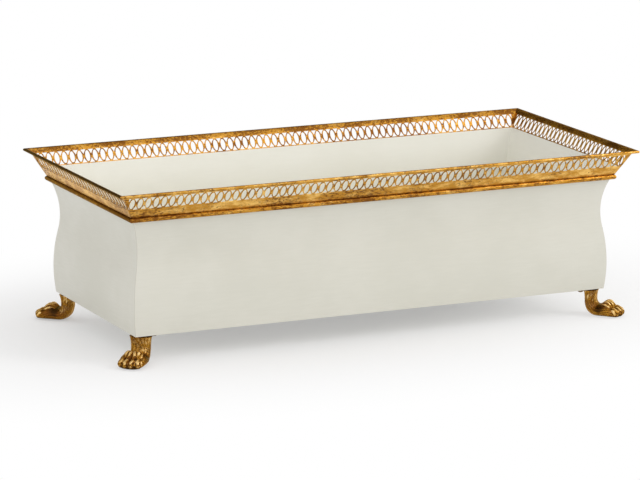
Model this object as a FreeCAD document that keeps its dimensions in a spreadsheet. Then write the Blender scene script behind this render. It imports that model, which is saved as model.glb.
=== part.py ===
"""Tole planter: a rectangular sheet-metal trough with ogee walls, a half-round moulding,
a pierced gallery with a rolled rim, and four cast paw feet.

Frame: origin on the floor under the middle, +X along the length, +Y to the back, +Z up.
Lengths are millimetres and angles are degrees. An inset is measured inwards from the
outermost edge of the rim.
"""
import FreeCAD, Part
import Sketcher
import math
import os

# Small rounds that repeat have few sides
RING_SIDES = 6
FASTENER_SIDES = 8
NUT_SIDES = 6
TOE_COUNT = 4

# Heights of the belly and the neck as shares of the wall below its flare
BELLY_HEIGHT_SHARE = 0.2194
NECK_HEIGHT_SHARE = 0.6724
# Half width of the paw at the tips of the toes as a share of its half width at the ball
PAW_EDGE_SHARE = 0.988

SIZES = {
    # Overall box
    "rim_length": 660.0,
    "rim_depth": 308.0,
    "overall_height": 203.0,
    # Rolled rim
    "roll_radius": 1.6,
    "rim_flat": 2.1,
    "rim_bend_radius": 4.5,
    # Pierced gallery, from the rim down
    "gallery_sheet": 0.8,
    "flare_angle": 28.5,
    "ring_margin": 0.25,
    "ring_half_height": 7.6,
    "ring_pitch": 9.7,
    "ring_strut": 1.2,
    "spandrel_half_width": 3.3,
    "corner_margin": 2.4,
    "band_height": 9.8,
    "solder_gap": 0.1,
    # Half-round moulding under the gallery
    "bead_gap": 0.1,
    "bead_radius": 3.0,
    "bead_stand": 3.95,
    # Walls
    "wall_sheet": 1.0,
    "lip_margin": 0.8,
    "flare_start": 1.28,
    "belly_bulge": 6.4,
    "foot_height": 33.0,
    # Bottom pan
    "pan_sheet": 1.0,
    "pan_flange": 10.0,
    "pan_clearance": 0.2,
    # Paw feet, measured along the diagonal from the bottom corner of the walls
    "toe_reach": 25.0,
    "toe_root": 4.0,
    "toe_fan_angle": 14.0,
    "groove_width": 1.6,
    "groove_angle": 9.0,
    "shoulder_height": 10.0,
    "shoulder_lean": 30.0,
    "claw_height": 6.0,
    "knuckle_reach": 7.0,
    "knuckle_height": 20.0,
    "knuckle_radius": 9.0,
    "knuckle_back_angle": 125.0,
    "knuckle_front_angle": 48.0,
    "instep_height": 14.0,
    "instep_radius": 6.5,
    "ball_width": 34.0,
    "leg_setback": 15.5,
    "leg_depth": 14.0,
    "leg_width": 24.0,
    "leg_flare": 1.8,
    "leg_corner": 7.0,
    "heel_radius": 4.0,
    "flange_sheet": 2.0,
    "flange_width": 31.0,
    "flange_setback": 2.5,
    "flange_corner": 9.0,
    # Foot screws and nuts
    "screw_gap": 1.8,
    "screw_edge": 7.0,
    "screw_radius": 2.0,
    "screw_clearance": 0.2,
    "screw_head_radius": 3.8,
    "screw_head_height": 2.2,
    "screw_end": 1.6,
    "nut_half_width": 3.5,
    "nut_height": 3.2,
    "thread_clearance": 0.05,
    # Overrun of all cuts
    "overrun": 2.0,
}

# Values worked out from the sizes, each an expression of the document
DERIVED = {
    # Rolled rim
    "roll_height": "Sizes.overall_height - Sizes.roll_radius",
    "rim_under": "Sizes.overall_height - 2 * Sizes.roll_radius",
    "rim_top": "rim_under + Sizes.gallery_sheet",
    "roll_join": "Sizes.roll_radius + sqrt(Sizes.roll_radius ^ 2 - (roll_height - rim_top) ^ 2)",
    "bend_inset": "Sizes.roll_radius + Sizes.rim_flat",
    "bend_height": "rim_under - Sizes.rim_bend_radius",
    "bend_outside": "Sizes.rim_bend_radius + Sizes.gallery_sheet",
    "bend_start": "bend_height + Sizes.rim_bend_radius * sin(Sizes.flare_angle)",
    "rim_corner": "bend_inset + Sizes.rim_bend_radius * tan((90 - Sizes.flare_angle) / 2)",
    # Gallery strip below the rim
    "flare_slope": "tan(Sizes.flare_angle)",
    "eye_half_height": "Sizes.ring_half_height - Sizes.ring_strut / 2",
    "eye_reach": f"eye_half_height / sin({360 * round(RING_SIDES / 4) / RING_SIDES})",
    "border_half_height": "Sizes.ring_half_height + Sizes.ring_strut / 2",
    "border_rise": "border_half_height * cos(Sizes.flare_angle)",
    "ring_height": "bend_start - Sizes.ring_margin - border_rise",
    "ring_inset": "rim_corner + (rim_under - ring_height) * flare_slope",
    "gallery_foot": "ring_height - border_rise - Sizes.band_height",
    "gallery_lap": "Sizes.solder_gap / cos(Sizes.flare_angle)",
    "gallery_face": "gallery_lap + Sizes.gallery_sheet / cos(Sizes.flare_angle)",
    "gallery_foot_lean": "Sizes.gallery_sheet * sin(Sizes.flare_angle)",
    # Straight flare of the wall behind the strip
    "lip_height": "ring_height - border_rise - Sizes.lip_margin",
    "flare_height": "gallery_foot + Sizes.flare_start",
    "flare_inset": "rim_corner + gallery_face + (rim_under - flare_height) * flare_slope",
    "lip_rise": "lip_height - flare_height",
    # The belly arc and the neck arc are tangent where the wall turns from bulge to hollow
    "wall_rise": "flare_height - Sizes.foot_height",
    "neck_height": f"Sizes.foot_height + wall_rise * {NECK_HEIGHT_SHARE}",
    "belly_height": f"Sizes.foot_height + wall_rise * {BELLY_HEIGHT_SHARE}",
    "neck_radius": "(flare_height - neck_height) / sin(Sizes.flare_angle)",
    "neck_axis": "flare_inset - neck_radius * cos(Sizes.flare_angle)",
    "neck_inset": "neck_axis + neck_radius",
    "ogee_rise": "neck_height - belly_height",
    "ogee_radii": "(Sizes.belly_bulge ^ 2 + ogee_rise ^ 2) / (2 * Sizes.belly_bulge)",
    "belly_radius": "ogee_radii - neck_radius",
    "belly_axis": "neck_inset - Sizes.belly_bulge + belly_radius",
    "turn_slope": "(belly_axis - neck_axis) / ogee_radii",
    "turn_rise": "ogee_rise / ogee_radii",
    "foot_drop": "belly_height - Sizes.foot_height",
    "bottom_inset": "belly_axis - sqrt(belly_radius ^ 2 - foot_drop ^ 2)",
    "inner_belly": "belly_radius - Sizes.wall_sheet",
    "inner_neck": "neck_radius + Sizes.wall_sheet",
    "bottom_inside": "belly_axis - sqrt(inner_belly ^ 2 - foot_drop ^ 2)",
    # Pan inside the walls
    "pan_inset": "bottom_inside + Sizes.pan_clearance",
    "pan_top": "Sizes.foot_height + Sizes.pan_flange",
    "pan_top_drop": "belly_height - pan_top",
    "pan_lean": "bottom_inside - belly_axis + sqrt(inner_belly ^ 2 - pan_top_drop ^ 2)",
    "pan_angle": "atan(pan_lean / Sizes.pan_flange)",
    # Moulding on the wall
    "bead_height": "gallery_foot - Sizes.bead_radius - Sizes.bead_gap",
    "bead_angle": "asin((bead_height - neck_height) / neck_radius)",
    "bead_seat": "neck_axis + neck_radius * cos(bead_angle)",
    "bead_axis": "Sizes.solder_gap + Sizes.bead_stand - Sizes.bead_radius",
    "bead_half_flat": "sqrt(Sizes.bead_radius ^ 2 - (Sizes.bead_stand - Sizes.bead_radius) ^ 2)",
    # Feet
    "flange_under": "Sizes.foot_height - Sizes.flange_sheet",
    "flange_half_width": "Sizes.flange_width / 2",
    "flange_tip": "Sizes.flange_setback * sqrt(2)",
    "leg_half_width": "Sizes.leg_width / 2",
    "leg_heel": "-(Sizes.leg_setback + Sizes.leg_depth / 2)",
    "leg_front": "Sizes.leg_depth / 2 - Sizes.leg_setback",
    "leg_back": "leg_heel - Sizes.leg_flare / 2",
    "ankle_height": "Sizes.instep_height + Sizes.instep_radius",
    "knuckle_axis": "Sizes.knuckle_height - Sizes.knuckle_radius",
    "ball_half_width": "Sizes.ball_width / 2",
    "tip_radius": "Sizes.toe_reach + Sizes.leg_setback",
    "paw_edge": f"asin(ball_half_width * {PAW_EDGE_SHARE} / tip_radius)",
    "first_groove": f"-Sizes.toe_fan_angle * {TOE_COUNT - 2} / 2",
    "shoulder_top": "Sizes.knuckle_height + Sizes.overrun",
    "shoulder_step": "(shoulder_top - Sizes.shoulder_height) * tan(Sizes.shoulder_lean)",
    "screw_hole": "Sizes.screw_radius + Sizes.screw_clearance",
    "screw_setback": "Sizes.screw_gap + Sizes.screw_head_radius - leg_back",
    "flange_reach": "screw_setback + Sizes.screw_edge",
    "corner_x": "Sizes.rim_length / 2 - bottom_inset",
    "corner_y": "Sizes.rim_depth / 2 - bottom_inset",
    "pan_floor": "Sizes.foot_height + Sizes.pan_sheet",
    "screw_length": "Sizes.flange_sheet + Sizes.pan_sheet + Sizes.nut_height + Sizes.screw_end",
    "nut_radius": f"Sizes.nut_half_width / cos({180 / NUT_SIDES})",
}

doc = FreeCAD.newDocument("tole_planter")


def fill_sheet():
    """Write the driving sizes into the document's sheet, one named cell each."""
    sheet = doc.addObject("Spreadsheet::Sheet", "Sizes")
    for line, (name, value) in enumerate(SIZES.items(), start=1):
        sheet.set(f"A{line}", name)
        sheet.set(f"B{line}", str(value))
        sheet.setAlias(f"B{line}", name)
    doc.recompute()


def fill_derived():
    """Hold each worked-out value as a property that follows its expression."""
    derived = doc.addObject("App::VarSet", "Derived")
    for name, expression in DERIVED.items():
        derived.addProperty("App::PropertyFloat", name)
        derived.setExpression(name, expression)
        doc.recompute()
    return derived


fill_sheet()
derived = fill_derived()


def size(expression):
    """The number that an expression of the document has now."""
    return float(derived.evalExpression(expression))


def plane(body, role):
    """One of a body's own origin planes or axes."""
    return next(item for item in body.Origin.OriginFeatures if item.Role == role)


def new_body(label):
    body = doc.addObject("PartDesign::Body", label)
    body.Label = label
    return body


def new_sketch(body, role, name, shift=None, turn=None):
    """A sketch on an origin plane, moved and turned about the plane's own axes."""
    sketch = body.newObject("Sketcher::SketchObject", name)
    sketch.AttachmentSupport = [(plane(body, role), "")]
    sketch.MapMode = "FlatFace"
    if turn:
        axis, angle = turn
        sketch.AttachmentOffset = FreeCAD.Placement(
            FreeCAD.Vector(), FreeCAD.Rotation(axis, size(angle)))
        sketch.setExpression("AttachmentOffset.Rotation.Angle", angle)
    for axis, expression in (shift or {}).items():
        sketch.setExpression(f"AttachmentOffset.Base.{axis}", expression)
    return sketch


def bind(sketch, kind, *where, to):
    """Add a dimension to a sketch and tie it to an expression."""
    index = sketch.addConstraint(Sketcher.Constraint(kind, *where, size(to)))
    sketch.setExpression(f"Constraints[{index}]", to)


def hold(sketch, curve, end, axis, point):
    """Hold one point of a sketch along one axis, measured from the sketch's origin."""
    kind, line, expression = ("DistanceX", -2, point[0]) if axis == "x" else ("DistanceY", -1, point[1])
    if expression == "0":
        sketch.addConstraint(Sketcher.Constraint("PointOnObject", curve, end, line))
    else:
        bind(sketch, kind, -1, 1, curve, end, to=expression)


def pin(sketch, curve, end, point):
    """Hold one point of a sketch along both axes."""
    for axis in ("x", "y"):
        hold(sketch, curve, end, axis, point)


def vector(point):
    return FreeCAD.Vector(size(point[0]), size(point[1]), 0)


def outline(sketch, corners, arcs=None):
    """Close a loop through the corners. arcs gives, for the run that leaves a corner,
    its centre and whether it turns clockwise."""
    arcs = arcs or {}
    first = sketch.GeometryCount
    starts = {}
    ends = {}
    for number, corner in enumerate(corners):
        following = corners[(number + 1) % len(corners)]
        run = first + number
        begin, finish = vector(corner), vector(following)
        starts[number], ends[number] = 1, 2
        if number not in arcs:
            sketch.addGeometry(Part.LineSegment(begin, finish))
            continue
        centre, clockwise = arcs[number]
        middle = vector(centre)
        if clockwise:
            begin, finish = finish, begin
            starts[number], ends[number] = 2, 1
        angles = [math.atan2(p.y - middle.y, p.x - middle.x) for p in (begin, finish)]
        if angles[1] <= angles[0]:
            angles[1] += 2 * math.pi
        radius = begin.distanceToPoint(middle)
        circle = Part.Circle(middle, FreeCAD.Vector(0, 0, 1), radius)
        sketch.addGeometry(Part.ArcOfCircle(circle, *angles))
        chord = finish - begin
        hold(sketch, run, 3, "x" if abs(chord.y) > abs(chord.x) else "y", centre)
    count = len(corners)
    for number, corner in enumerate(corners):
        after = (number + 1) % count
        sketch.addConstraint(Sketcher.Constraint(
            "Coincident", first + number, ends[number], first + after, starts[after]))
        pin(sketch, first + number, starts[number], corner)


def polygon(sketch, centre, half_width, half_height, sides):
    """A polygon with its corners on an ellipse, the first of them at the right-hand end."""
    turns = [360 * step / sides for step in range(sides)]
    outline(sketch, [
        (f"{centre[0]} + {half_width} * cos({turn})", f"{centre[1]} + {half_height} * sin({turn})")
        for turn in turns])


def pad(body, sketch, length, symmetric=False, taper=None):
    feature = body.newObject("PartDesign::Pad", sketch.Name + "_pad")
    feature.Profile = sketch
    feature.setExpression("Length", length)
    if symmetric:
        feature.SideType = "Symmetric"
    if taper:
        feature.setExpression("TaperAngle", taper)
    doc.recompute()
    return feature


def pocket(body, sketch, upwards=False, length=None, taper=None):
    """Cut a sketch out of the body, through all of it or to a length, and see that it bites."""
    before = body.Shape.Volume
    feature = body.newObject("PartDesign::Pocket", sketch.Name + "_cut")
    feature.Profile = sketch
    feature.Reversed = upwards
    if length:
        feature.setExpression("Length", length)
    else:
        feature.Type = "ThroughAll"
    if taper:
        feature.setExpression("TaperAngle", taper)
    doc.recompute()
    if not body.Shape.Volume < before:
        raise RuntimeError(f"{sketch.Name} cuts nothing")
    return feature


def row(body, original, occurrences, extent):
    """Repeat a cut along the body's X axis."""
    feature = body.newObject("PartDesign::LinearPattern", original.Name + "_row")
    feature.Originals = [original]
    feature.Direction = (plane(body, "X_Axis"), [""])
    feature.Mode = "Extent"
    feature.setExpression("Length", extent)
    feature.setExpression("Occurrences", occurrences)
    body.Tip = feature
    doc.recompute()
    return feature


class Side:
    """One side of the trough, drawn as the front side and turned into its place.

    A section point is an inset and a height, and the plane of sections is Y to the side, Z up.
    """

    def __init__(self, name, length, depth, turn):
        self.name = name
        self.length = length
        self.half_depth = f"{depth} / 2"
        self.half_length = f"{length} / 2"
        self.turn = turn

    def at(self, inset, height):
        return f"{inset} - {self.half_depth}", height

    def strip(self, label, draw):
        """Run a section along the side and mitre both ends."""
        body = new_body(label)
        section = new_sketch(body, "YZ_Plane", label + "_section")
        draw(self, section)
        pad(body, section, self.length, symmetric=True)
        mitre = new_sketch(body, "XY_Plane", label + "_mitre")
        inside = "(Derived.neck_inset + Sizes.wall_sheet + Sizes.overrun)"
        for hand in ("", "-"):
            far = f"{hand}({self.half_length} + Sizes.overrun)"
            near = f"{hand}({self.half_length} - {inside})"
            outlying = self.at("-Sizes.overrun", None)[0]
            inlying = self.at(inside, None)[0]
            outline(mitre, [(far, outlying), (far, inlying), (near, inlying)])
        pocket(body, mitre, upwards=True)
        body.Placement = FreeCAD.Placement(
            FreeCAD.Vector(), FreeCAD.Rotation(FreeCAD.Vector(0, 0, 1), self.turn))
        return body


def draw_wall(side, sketch):
    """Ogee wall: belly arc, neck arc and a straight flare, one sheet thick."""
    turn_height = "Derived.belly_height + Derived.turn_rise * {}"
    turn_inset = "Derived.belly_axis - Derived.turn_slope * {}"
    lip_inset = "Derived.flare_inset - Derived.lip_rise * Derived.flare_slope"
    flare_inside = "Derived.neck_axis + Derived.inner_neck * cos(Sizes.flare_angle)"
    flare_inside_height = "Derived.neck_height + Derived.inner_neck * sin(Sizes.flare_angle)"
    lip_lean = "Sizes.wall_sheet * cos(Sizes.flare_angle)"
    lip_tilt = "Sizes.wall_sheet * sin(Sizes.flare_angle)"
    outer = [
        side.at("Derived.bottom_inset", "Sizes.foot_height"),
        side.at(turn_inset.format("Derived.belly_radius"), turn_height.format("Derived.belly_radius")),
        side.at("Derived.flare_inset", "Derived.flare_height"),
        side.at(lip_inset, "Derived.lip_height"),
    ]
    inner = [
        side.at(f"{lip_inset} + {lip_lean}", f"Derived.lip_height + {lip_tilt}"),
        side.at(flare_inside, flare_inside_height),
        side.at(turn_inset.format("Derived.inner_belly"), turn_height.format("Derived.inner_belly")),
        side.at("Derived.bottom_inside", "Sizes.foot_height"),
    ]
    belly = side.at("Derived.belly_axis", "Derived.belly_height")
    neck = side.at("Derived.neck_axis", "Derived.neck_height")
    outline(sketch, outer + inner, {
        0: (belly, True),
        1: (neck, False),
        5: (neck, True),
        6: (belly, False),
    })


def draw_bead(side, sketch):
    """Half-round moulding: a circle with a flat back that leans with the wall behind it."""
    across = ("cos(Derived.bead_angle)", "sin(Derived.bead_angle)")

    def off_wall(out, along):
        inset = f"Derived.bead_seat - ({out}) * {across[0]} - ({along}) * {across[1]}"
        height = f"Derived.bead_height - ({out}) * {across[1]} + ({along}) * {across[0]}"
        return side.at(inset, height)

    top = off_wall("Sizes.solder_gap", "Derived.bead_half_flat")
    foot = off_wall("Sizes.solder_gap", "-Derived.bead_half_flat")
    middle = off_wall("Derived.bead_axis", "0")
    outline(sketch, [top, foot], {0: (middle, False)})


def draw_gallery(side, sketch):
    """Strip that leans with the flare, bends out into a flat rim and ends in a tight roll."""
    foot_inset = ("Derived.flare_inset - (Derived.gallery_foot - Derived.flare_height)"
                  " * Derived.flare_slope - Derived.gallery_lap")
    lean = "Sizes.gallery_sheet * cos(Sizes.flare_angle)"
    axis = ("Derived.bend_inset", "Derived.bend_height")

    def on_bend(radius):
        inset = f"{axis[0]} + {radius} * cos(Sizes.flare_angle)"
        return side.at(inset, f"{axis[1]} + {radius} * sin(Sizes.flare_angle)")

    corners = [
        side.at(foot_inset, "Derived.gallery_foot"),
        side.at(f"{foot_inset} - {lean}", "Derived.gallery_foot - Derived.gallery_foot_lean"),
        on_bend("Sizes.rim_bend_radius"),
        side.at("Derived.bend_inset", "Derived.rim_under"),
        side.at("Sizes.roll_radius", "Derived.rim_under"),
        side.at("Derived.roll_join", "Derived.rim_top"),
        side.at("Derived.bend_inset", "Derived.rim_top"),
        on_bend("Derived.bend_outside"),
    ]
    roll = side.at("Sizes.roll_radius", "Derived.roll_height")
    outline(sketch, corners, {
        2: (side.at(*axis), False),
        4: (roll, True),
        6: (side.at(*axis), True),
    })


def pierce(side, body):
    """Cut the row of ring eyes and the spandrels above and below each meeting of two rings."""
    span = f"({side.length} - 2 * Derived.ring_inset - 2 * Sizes.corner_margin)"
    count = f"round({span} / Sizes.ring_pitch)"
    pitch = f"({span} / {count})"
    shift = {"y": "Derived.ring_height", "z": f"{side.half_depth} - Derived.ring_inset"}
    lean = (FreeCAD.Vector(1, 0, 0), "Sizes.flare_angle")
    eye_half_width = f"({pitch} - Sizes.ring_strut) / 2"
    first_eye = f"{pitch} * (1 - {count}) / 2"
    eye = new_sketch(body, "XZ_Plane", body.Label + "_eye", shift, lean)
    polygon(eye, (first_eye, "0"), f"({eye_half_width})", "Derived.eye_reach", RING_SIDES)
    row(body, pocket(body, eye), count, f"{pitch} * ({count} - 1)")
    spandrel = new_sketch(body, "XZ_Plane", body.Label + "_spandrel", shift, lean)
    first_meeting = f"{pitch} * (2 - {count}) / 2"
    ring_half_width = f"({pitch} + Sizes.ring_strut) / 2"
    apex = f"Derived.border_half_height * sqrt(1 - ({pitch} / 2 / ({ring_half_width})) ^ 2)"
    for hand in ("", "-"):
        border = f"{hand}Derived.border_half_height"
        outline(spandrel, [
            (f"{first_meeting} - Sizes.spandrel_half_width", border),
            (f"{first_meeting} + Sizes.spandrel_half_width", border),
            (first_meeting, f"{hand}{apex}"),
        ])
    row(body, pocket(body, spandrel), f"{count} - 1", f"{pitch} * ({count} - 2)")


def make_pan():
    """Bottom sheet with an upturned flange that leans out with the walls."""
    body = new_body("bottom_pan")

    def plate(name, height, inset):
        sketch = new_sketch(body, "XY_Plane", name, {"z": height})
        x = f"(Sizes.rim_length / 2 - ({inset}))"
        y = f"(Sizes.rim_depth / 2 - ({inset}))"
        outline(sketch, [(f"-{x}", f"-{y}"), (x, f"-{y}"), (x, y), (f"-{x}", y)])
        return sketch

    outside = plate("pan_outside", "Sizes.foot_height", "Derived.pan_inset")
    pad(body, outside, "Sizes.pan_flange", taper="Derived.pan_angle")
    floor_inset = "Derived.pan_inset + Sizes.pan_sheet - Sizes.pan_sheet * tan(Derived.pan_angle)"
    inside = plate("pan_inside", "Derived.pan_floor", floor_inset)
    pocket(body, inside, upwards=True, length="Sizes.pan_flange", taper="Derived.pan_angle")
    holes = new_sketch(body, "XY_Plane", "pan_holes", {"z": "Sizes.foot_height"})
    for place in CORNERS.values():
        radius = "Derived.screw_hole"
        polygon(holes, screw_place(place), radius, radius, FASTENER_SIDES)
    pocket(body, holes, upwards=True)
    return body


CORNERS = {
    "front_left": (-1, -1),
    "front_right": (1, -1),
    "back_left": (-1, 1),
    "back_right": (1, 1),
}


def screw_place(corner):
    """Plan position of the foot screw at a corner."""
    along, across = corner
    back = "Derived.screw_setback / sqrt(2)"
    return f"{along} * (Derived.corner_x - {back})", f"{across} * (Derived.corner_y - {back})"


def make_profile(body):
    """Side outline of a foot: heel, back of the leg, instep, knuckle and toe."""
    profile = new_sketch(body, "XZ_Plane", body.Label + "_profile")
    back, front = "Derived.leg_heel", "Derived.leg_front"
    ankle, top = "Derived.ankle_height", "Derived.flange_under"
    instep = f"{front} + Sizes.instep_radius"

    def on_knuckle(angle):
        along = f"Sizes.knuckle_reach + Sizes.knuckle_radius * cos({angle})"
        return along, f"Derived.knuckle_axis + Sizes.knuckle_radius * sin({angle})"

    outline(profile, [
        (f"{back} + Sizes.heel_radius", "0"),
        (back, "Sizes.heel_radius"),
        (back, ankle),
        (f"{back} - Sizes.leg_flare", top),
        (f"{front} + Sizes.leg_flare", top),
        (front, ankle),
        (instep, "Sizes.instep_height"),
        on_knuckle("Sizes.knuckle_back_angle"),
        on_knuckle("Sizes.knuckle_front_angle"),
        ("Sizes.toe_reach", "Sizes.claw_height"),
        ("Sizes.toe_reach", "0"),
    ], {
        0: ((f"{back} + Sizes.heel_radius", "Sizes.heel_radius"), True),
        5: ((instep, ankle), False),
        7: (("Sizes.knuckle_reach", "Derived.knuckle_axis"), True),
    })
    pad(body, profile, "Sizes.ball_width", symmetric=True)


def cut_plan(body):
    """Cut the foot to its outline from above: cut heel corners, a broad paw and toes on an arc."""
    plan = new_sketch(body, "XY_Plane", body.Label + "_plan")
    left, right = "(Derived.leg_back - Sizes.overrun)", "(Sizes.toe_reach + Sizes.overrun)"
    beside = "(Derived.ball_half_width + Sizes.overrun)"
    outline(plan, [(left, f"-{beside}"), (right, f"-{beside}"), (right, beside), (left, beside)])
    turned = "Derived.leg_back + Sizes.leg_corner"
    flat = "(Derived.leg_half_width - Sizes.leg_corner)"
    tip = "Derived.tip_radius * cos(Derived.paw_edge) - Sizes.leg_setback"
    tip_side = "Derived.tip_radius * sin(Derived.paw_edge)"
    half = [
        (tip, tip_side),
        ("Sizes.toe_root", "Derived.ball_half_width"),
        ("Derived.leg_front", "Derived.leg_half_width"),
        (turned, "Derived.leg_half_width"),
        ("Derived.leg_back", flat),
    ]
    other_half = [(along, f"-{across}") for along, across in reversed(half)]
    outline(plan, half + other_half, {9: (("-Sizes.leg_setback", "0"), False)})
    pocket(body, plan, upwards=True)


def cut_shoulders(body):
    """Slope the outer toes' outer edges from the instep forward."""
    shoulders = new_sketch(body, "YZ_Plane", body.Label + "_shoulders",
                           {"z": "Derived.leg_front + Sizes.instep_radius"})
    side, low, top = "Derived.ball_half_width", "Sizes.shoulder_height", "Derived.shoulder_top"
    beside, near = f"({side} + Sizes.overrun)", f"({side} - Derived.shoulder_step)"
    for hand in ("", "-"):
        outline(shoulders, [
            (hand + side, low), (hand + beside, low), (hand + beside, top), (hand + near, top)])
    pocket(body, shoulders, upwards=True)


def cut_toes(body):
    """One groove that widens upwards, repeated in a fan about the leg between the toes."""
    turn = "Derived.first_groove"
    reach = "(Sizes.toe_root + Sizes.leg_setback)"
    groove = new_sketch(
        body, "YZ_Plane", body.Label + "_groove",
        {"x": f"{reach} * sin({turn})", "z": f"{reach} * cos({turn}) - Sizes.leg_setback"},
        (FreeCAD.Vector(0, 1, 0), turn))
    half, top = "(Sizes.groove_width / 2)", "Derived.shoulder_top"
    mouth = f"({half} + {top} * tan(Sizes.groove_angle))"
    outline(groove, [(f"-{half}", "0"), (half, "0"), (mouth, top), (f"-{mouth}", top)])
    first = pocket(body, groove, upwards=True, length="Sizes.toe_reach - Sizes.toe_root + Sizes.overrun")
    pivot = new_sketch(body, "XY_Plane", body.Label + "_pivot", {"x": "-Sizes.leg_setback"})
    feature = body.newObject("PartDesign::PolarPattern", body.Label + "_toes")
    feature.Originals = [first]
    feature.Axis = (pivot, ["N_Axis"])
    feature.Mode = "Extent"
    feature.setExpression("Angle", f"-2 * {turn}")
    feature.Occurrences = TOE_COUNT - 1
    body.Tip = feature
    doc.recompute()


def make_flange(body):
    """Plate under the pan: square to the corner outside, cut corners inside, with the screw hole."""
    plate = new_sketch(body, "XY_Plane", body.Label + "_flange", {"z": "Derived.flange_under"})
    half = "Derived.flange_half_width"
    shoulder = f"-(Derived.flange_tip + {half})"
    turned = "-(Derived.flange_reach - Sizes.flange_corner)"
    flat = f"({half} - Sizes.flange_corner)"
    outline(plate, [
        ("-Derived.flange_tip", "0"),
        (shoulder, half),
        (turned, half),
        ("-Derived.flange_reach", flat),
        ("-Derived.flange_reach", f"-{flat}"),
        (turned, f"-{half}"),
        (shoulder, f"-{half}"),
    ])
    pad(body, plate, "Sizes.flange_sheet")
    hole = new_sketch(body, "XY_Plane", body.Label + "_hole")
    radius = "Derived.screw_hole"
    polygon(hole, ("-Derived.screw_setback", "0"), radius, radius, FASTENER_SIDES)
    pocket(body, hole, upwards=True)


def make_foot(corner_name, corner):
    """Cast paw foot, drawn with its toes along +X and turned out at its corner."""
    body = new_body("foot_" + corner_name)
    make_profile(body)
    cut_plan(body)
    cut_shoulders(body)
    cut_toes(body)
    make_flange(body)
    along, across = corner
    heading = math.degrees(math.atan2(across, along))
    body.Placement.Rotation = FreeCAD.Rotation(FreeCAD.Vector(0, 0, 1), heading)
    body.setExpression("Placement.Base.x", f"{along} * Derived.corner_x")
    body.setExpression("Placement.Base.y", f"{across} * Derived.corner_y")
    return body


def solid(name, corner, height, radius, length, sides):
    """A prism that stands on a foot screw's axis at a height."""
    item = doc.addObject("Part::Prism", name)
    item.setExpression("Circumradius", radius)
    item.setExpression("Height", length)
    item.Polygon = sides
    for key, expression in zip("xyz", screw_place(corner) + (height,)):
        item.setExpression(f"Placement.Base.{key}", expression)
    return item


def join(kind, name, base, tool):
    item = doc.addObject("Part::" + kind, name)
    item.Base = base
    item.Tool = tool
    return item


def make_group(label, members):
    group = doc.addObject("Part::Compound", label)
    group.Label = label
    group.Links = members
    return group


def make_screws():
    """Screws up through the flanges and the pan, heads below."""
    screws = []
    for name, corner in CORNERS.items():
        head = solid(f"head_{name}", corner, "Derived.flange_under - Sizes.screw_head_height",
                     "Sizes.screw_head_radius", "Sizes.screw_head_height", FASTENER_SIDES)
        shank = solid(f"shank_{name}", corner, "Derived.flange_under",
                      "Sizes.screw_radius", "Derived.screw_length", FASTENER_SIDES)
        screws.append(join("Fuse", f"screw_{name}", head, shank))
    return make_group("foot_screws", screws)


def make_nuts():
    """Hexagon nuts on the screws, on the floor of the pan."""
    nuts = []
    for name, corner in CORNERS.items():
        block = solid(f"hexagon_{name}", corner, "Derived.pan_floor",
                      "Derived.nut_radius", "Sizes.nut_height", NUT_SIDES)
        bore = solid(f"thread_{name}", corner, "Sizes.foot_height",
                     "Sizes.screw_radius + Sizes.thread_clearance",
                     "Derived.screw_length + Sizes.overrun", FASTENER_SIDES)
        nuts.append(join("Cut", f"nut_{name}", block, bore))
    return make_group("foot_nuts", nuts)


SIDES = [
    Side("front", "Sizes.rim_length", "Sizes.rim_depth", 0),
    Side("right", "Sizes.rim_depth", "Sizes.rim_length", 90),
    Side("back", "Sizes.rim_length", "Sizes.rim_depth", 180),
    Side("left", "Sizes.rim_depth", "Sizes.rim_length", 270),
]

nodes = []
for side in SIDES:
    nodes.append(side.strip(side.name + "_panel", draw_wall))
    nodes.append(side.strip("bead_" + side.name, draw_bead))
    gallery = side.strip("gallery_" + side.name, draw_gallery)
    pierce(side, gallery)
    nodes.append(gallery)
nodes.append(make_pan())
for corner_name, corner in CORNERS.items():
    nodes.append(make_foot(corner_name, corner))
nodes += [make_screws(), make_nuts()]

doc.recompute()
for item in doc.Objects:
    if "Invalid" in item.State or "Error" in item.State:
        raise RuntimeError(f"{item.Label} did not build: {item.State}")
os.makedirs("parts", exist_ok=True)
for node in nodes:
    shape = node.Shape
    if shape.isNull() or not shape.isValid():
        raise RuntimeError(f"{node.Label} has no valid shape")
    shape.exportStep(os.path.join("parts", node.Label + ".step"))
    print(node.Label, len(shape.Solids), round(shape.Volume, 1))
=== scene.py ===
"""Looks of a tole planter: ogee walls in cream paint, a gilt pierced gallery and moulding,
burnished paw feet and their fasteners, on a plain white stage.

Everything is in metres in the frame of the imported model: +X along the length, +Y to the back,
+Z up. An inset is measured inwards from the outermost edge of the rim. One side is drawn as the
front side and turned about Z into its place. A foot is drawn in millimetres, outwards along the
diagonal from the bottom corner of the walls, and then carried to each corner.
"""
import math
from collections import namedtuple
from math import pi
from types import SimpleNamespace

import bmesh
import bpy
import numpy as np
from bpy.props import FloatProperty, FloatVectorProperty, IntProperty, PointerProperty
from bpy.types import Operator, Panel, PropertyGroup
from mathutils import Matrix, Vector


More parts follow.
